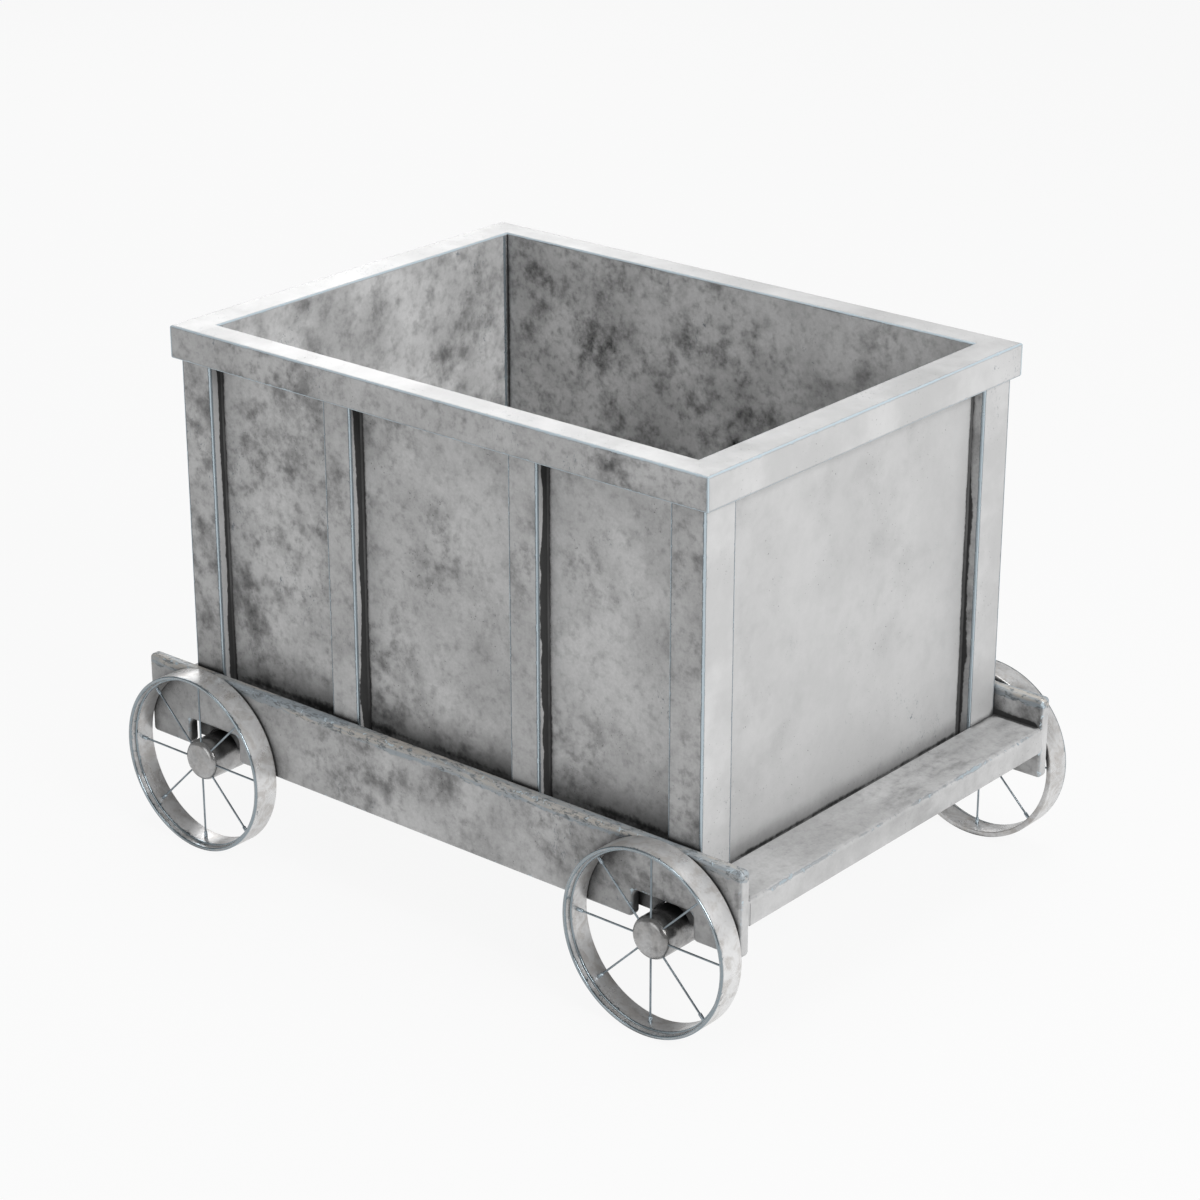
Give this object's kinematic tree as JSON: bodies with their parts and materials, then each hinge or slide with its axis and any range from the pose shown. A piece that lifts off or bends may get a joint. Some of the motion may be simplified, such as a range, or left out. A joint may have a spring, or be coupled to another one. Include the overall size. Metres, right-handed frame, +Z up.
{
  "type": "mine cart",
  "caption": "Open box mine cart in galvanised steel: deep battened tub with a heavy rim, notched side rails, end sills and free-rolling wire-spoked wheels.",
  "frame": {"origin": "on the floor under the middle of the cart, at the foot of the bounding box", "axes": "+X along the cart towards its front end, +Y to its left, +Z up; the axles lie along Y"},
  "size_m": [1.392, 1.014, 0.9715],
  "materials": {
    "sheet_steel": "weathered galvanised sheet, cloudy mid grey with dark grime in the creases",
    "frame_steel": "weathered galvanised section, bluish worn edges",
    "wheel_steel": "weathered galvanised, smoother and brighter than the tub",
    "bare_steel": "oiled bare steel",
    "bronze": "dull bearing bronze"
  },
  "bodies": {
    "chassis": {"rim_left": "frame_steel", "rim_right": "frame_steel", "rim_front": "frame_steel", "rim_rear": "frame_steel", "side_skin_left": "sheet_steel", "side_skin_right": "sheet_steel", "end_skin_front": "sheet_steel", "end_skin_rear": "sheet_steel", "side_liner_left": "sheet_steel", "side_liner_right": "sheet_steel", "end_liner_front": "sheet_steel", "end_liner_rear": "sheet_steel", "corner_post_front_left": "sheet_steel", "corner_post_front_right": "sheet_steel", "corner_post_rear_left": "sheet_steel", "corner_post_rear_right": "sheet_steel", "side_batten_front_left": "sheet_steel", "side_batten_front_right": "sheet_steel", "side_batten_rear_left": "sheet_steel", "side_batten_rear_right": "sheet_steel", "floor_plate": "sheet_steel", "floor_liner": "sheet_steel", "side_rail_left": "frame_steel", "side_rail_right": "frame_steel", "side_bearer_left": "frame_steel", "side_bearer_right": "frame_steel", "end_bearer_front": "frame_steel", "end_bearer_rear": "frame_steel", "end_sill_front": "frame_steel", "end_sill_rear": "frame_steel", "axle_bolster_front": "frame_steel", "axle_bolster_rear": "frame_steel", "axle_keeper_front_left": "frame_steel", "axle_keeper_front_right": "frame_steel", "axle_keeper_rear_left": "frame_steel", "axle_keeper_rear_right": "frame_steel", "axle_front": "bare_steel", "axle_rear": "bare_steel", "axle_nut_front_left": "bare_steel", "axle_nut_front_right": "bare_steel", "axle_nut_rear_left": "bare_steel", "axle_nut_rear_right": "bare_steel"},
    "wheel_front_left": {"wheel_rim_front_left": "wheel_steel", "wheel_spider_front_left": "wheel_steel", "hub_cap_front_left": "wheel_steel", "hub_bush_front_left": "bronze"},
    "wheel_front_right": {"wheel_rim_front_right": "wheel_steel", "wheel_spider_front_right": "wheel_steel", "hub_cap_front_right": "wheel_steel", "hub_bush_front_right": "bronze"},
    "wheel_rear_left": {"wheel_rim_rear_left": "wheel_steel", "wheel_spider_rear_left": "wheel_steel", "hub_cap_rear_left": "wheel_steel", "hub_bush_rear_left": "bronze"},
    "wheel_rear_right": {"wheel_rim_rear_right": "wheel_steel", "wheel_spider_rear_right": "wheel_steel", "hub_cap_rear_right": "wheel_steel", "hub_bush_rear_right": "bronze"}
  },
  "joints": [
    {"name": "wheel_front_left_spin", "type": "hinge", "parent": "chassis", "child": "wheel_front_left", "pos_m": [0.528, 0.481, 0.168], "axis": [0, 1, 0], "continuous": true},
    {"name": "wheel_front_right_spin", "type": "hinge", "parent": "chassis", "child": "wheel_front_right", "pos_m": [0.528, -0.481, 0.168], "axis": [0, 1, 0], "continuous": true},
    {"name": "wheel_rear_left_spin", "type": "hinge", "parent": "chassis", "child": "wheel_rear_left", "pos_m": [-0.528, 0.481, 0.168], "axis": [0, 1, 0], "continuous": true},
    {"name": "wheel_rear_right_spin", "type": "hinge", "parent": "chassis", "child": "wheel_rear_right", "pos_m": [-0.528, -0.481, 0.168], "axis": [0, 1, 0], "continuous": true}
  ]
}
